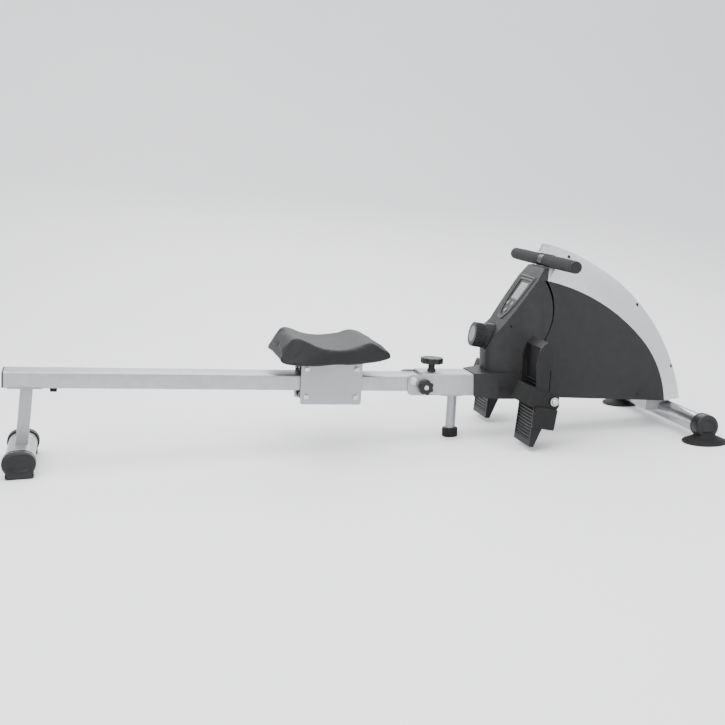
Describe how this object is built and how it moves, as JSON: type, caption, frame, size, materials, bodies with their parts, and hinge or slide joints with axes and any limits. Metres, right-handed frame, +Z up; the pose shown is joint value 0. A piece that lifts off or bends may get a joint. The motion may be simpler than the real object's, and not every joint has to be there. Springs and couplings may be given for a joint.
{
  "type": "rowing machine",
  "caption": "Folding magnetic rowing machine: sliding seat on a sloped rail, pull handle on a strap, tilting footrests, arched flywheel housing with a console and tension knob.",
  "frame": {"origin": "on the floor under the middle of the machine's bounding box", "axes": "+X along the machine towards the flywheel housing, +Y across it towards the rower's left, +Z up"},
  "size_m": [1.832, 0.616, 0.5085],
  "materials": {
    "black_plastic": "fine texture",
    "charcoal": "fine texture",
    "chrome": "polished",
    "display": "clear lens over a grey panel",
    "foam": "foam",
    "grey_plastic": "satin",
    "iron": "turned",
    "polyurethane": "smooth",
    "rubber": "matte",
    "seat_skin": "moulded, matte",
    "silver_paint": "satin",
    "silver_plastic": "metallic satin",
    "steel": "machined",
    "webbing": "woven",
    "zinc": "zinc plated"
  },
  "bodies": {
    "frame": {"main_beam": "silver_paint", "fold_pivot_bolt": "zinc", "mid_leg": "silver_paint", "mid_leg_foot": "rubber", "stabiliser_saddle": "silver_paint", "front_stabiliser": "chrome", "front_end_caps": "black_plastic", "front_feet": "rubber", "right_side_cover": "charcoal", "left_side_cover": "charcoal", "arch_shroud": "silver_plastic", "nose_cover": "charcoal", "base_cover": "charcoal", "housing_screws": "black_plastic", "handle_cradle": "black_plastic", "console_bezel": "grey_plastic", "console_display": "display", "tension_dial": "black_plastic", "pull_strap": "webbing", "drive_frame": "silver_paint", "drive_axles": "steel", "recoil_spring": "steel", "drive_belt": "rubber", "brake_cable": "black_plastic", "footrest_shaft": "zinc"},
    "rail_section": {"rail": "silver_paint", "rail_end_plug": "black_plastic", "rail_tongue": "silver_paint", "rear_leg": "silver_paint", "rear_leg_bolts": "zinc", "rear_stabiliser": "silver_paint", "rear_end_caps": "black_plastic", "rail_bumper": "rubber"},
    "seat": {"seat_pad": "seat_skin", "seat_carriage": "silver_paint", "carriage_axles": "zinc"},
    "upper_rear_roller": {"upper_rear_rollers": "polyurethane"},
    "upper_front_roller": {"upper_front_rollers": "polyurethane"},
    "lower_rear_roller": {"lower_rear_rollers": "polyurethane"},
    "lower_front_roller": {"lower_front_rollers": "polyurethane"},
    "handle": {"handle_bar": "steel", "handle_grips": "foam", "handle_end_caps": "black_plastic", "handle_yoke": "black_plastic"},
    "spool": {"strap_spool": "grey_plastic"},
    "small_pulley": {"flywheel_pulley": "steel"},
    "flywheel_disc": {"flywheel": "iron"},
    "guide": {"guide_roller": "polyurethane"},
    "brake": {"brake_arm": "steel", "brake_magnets": "iron"},
    "tension": {"tension_knob": "black_plastic"},
    "left_button": {"button_left": "grey_plastic"},
    "right_button": {"button_right": "grey_plastic"},
    "lower_button": {"button_lower": "grey_plastic"},
    "lock": {"lock_knob": "black_plastic"},
    "side_screw": {"side_knob": "black_plastic"},
    "right_foot": {"right_footrest": "black_plastic", "right_foot_strap": "webbing"},
    "left_foot": {"left_footrest": "black_plastic", "left_foot_strap": "webbing"}
  },
  "joints": [
    {"name": "fold", "type": "hinge", "parent": "frame", "child": "rail_section", "pos_m": [0.128, 0, 0.166], "axis": [0, -1, 0], "range_deg": [-88, 0]},
    {"name": "seat_slide", "type": "slide", "parent": "rail_section", "child": "seat", "axis": [0.9977, 0, -0.068], "range_m": [-0.6, 0.105]},
    {"name": "upper_rear_roll", "type": "hinge", "parent": "seat", "child": "upper_rear_roller", "pos_m": [-0.15435, 0, 0.21462], "axis": [0, 1, 0], "range_deg": [-1950, 360]},
    {"name": "upper_front_roll", "type": "hinge", "parent": "seat", "child": "upper_front_roller", "pos_m": [-0.02465, 0, 0.20578], "axis": [0, 1, 0], "range_deg": [-1950, 360]},
    {"name": "lower_rear_roll", "type": "hinge", "parent": "seat", "child": "lower_rear_roller", "pos_m": [-0.15935, 0, 0.14119], "axis": [0, 1, 0], "range_deg": [-430, 2350]},
    {"name": "lower_front_roll", "type": "hinge", "parent": "seat", "child": "lower_front_roller", "pos_m": [-0.02965, 0, 0.13234], "axis": [0, 1, 0], "range_deg": [-430, 2350]},
    {"name": "handle_pull", "type": "slide", "parent": "frame", "child": "handle", "axis": [-1, 0, 0], "range_m": [0, 0.9], "deforming": ["pull_strap"]},
    {"name": "spool_turn", "type": "hinge", "parent": "frame", "child": "spool", "pos_m": [0.478, 0, 0.25], "axis": [0, -1, 0], "range_deg": [0, 1300]},
    {"name": "pulley_turn", "type": "hinge", "parent": "frame", "child": "small_pulley", "pos_m": [0.64, 0, 0.258], "axis": [0, -1, 0], "range_deg": [0, 5700]},
    {"name": "guide_turn", "type": "hinge", "parent": "frame", "child": "guide", "pos_m": [0.541, 0, 0.4552], "axis": [0, -1, 0], "range_deg": [0, 4800]},
    {"name": "flywheel_spin", "type": "hinge", "parent": "frame", "child": "flywheel_disc", "pos_m": [0.64, 0, 0.258], "axis": [0, -1, 0], "continuous": true},
    {"name": "tension_turn", "type": "hinge", "parent": "frame", "child": "tension", "pos_m": [0.347, 0, 0.266], "axis": [-0.9744, 0, 0.225], "range_deg": [0, 270]},
    {"name": "brake_swing", "type": "hinge", "parent": "frame", "child": "brake", "pos_m": [0.5683, 0, 0.36039], "axis": [0, -1, 0], "range_deg": [0, 8.2]},
    {"name": "left_button_press", "type": "slide", "parent": "frame", "child": "left_button", "axis": [0.7935, 0, -0.6086], "range_m": [0, 0.0015], "stiffness_N_per_m": 400},
    {"name": "right_button_press", "type": "slide", "parent": "frame", "child": "right_button", "axis": [0.7935, 0, -0.6086], "range_m": [0, 0.0015], "stiffness_N_per_m": 400},
    {"name": "lower_button_press", "type": "slide", "parent": "frame", "child": "lower_button", "axis": [0.7935, 0, -0.6086], "range_m": [0, 0.0015], "stiffness_N_per_m": 400},
    {"name": "lock_pull", "type": "slide", "parent": "frame", "child": "lock", "axis": [0.068, 0, 0.9977], "range_m": [0, 0.014], "stiffness_N_per_m": 400, "springref_m": -0.01},
    {"name": "side_knob_turn", "type": "hinge", "parent": "frame", "child": "side_screw", "pos_m": [0.15791, -0.05, 0.14893], "axis": [0, 1, 0], "range_deg": [0, 360]},
    {"name": "right_foot_tilt", "type": "hinge", "parent": "frame", "child": "right_foot", "pos_m": [0.44617, -0.1715, 0.12827], "axis": [0, 1, 0], "range_deg": [-5, 50]},
    {"name": "left_foot_tilt", "type": "hinge", "parent": "frame", "child": "left_foot", "pos_m": [0.44617, 0.1715, 0.12827], "axis": [0, 1, 0], "range_deg": [-5, 50]}
  ],
  "couplings": [
    {"joint": "upper_rear_roll", "follows": "seat_slide", "rad_per_m": 55.556},
    {"joint": "upper_front_roll", "follows": "seat_slide", "rad_per_m": 55.556},
    {"joint": "lower_rear_roll", "follows": "seat_slide", "rad_per_m": -66.667},
    {"joint": "lower_front_roll", "follows": "seat_slide", "rad_per_m": -66.667},
    {"joint": "spool_turn", "follows": "handle_pull", "rad_per_m": 24.272},
    {"joint": "pulley_turn", "follows": "handle_pull", "rad_per_m": 108.12},
    {"joint": "guide_turn", "follows": "handle_pull", "rad_per_m": 89.286},
    {"joint": "brake_swing", "follows": "tension_turn", "ratio": 0.02963}
  ]
}
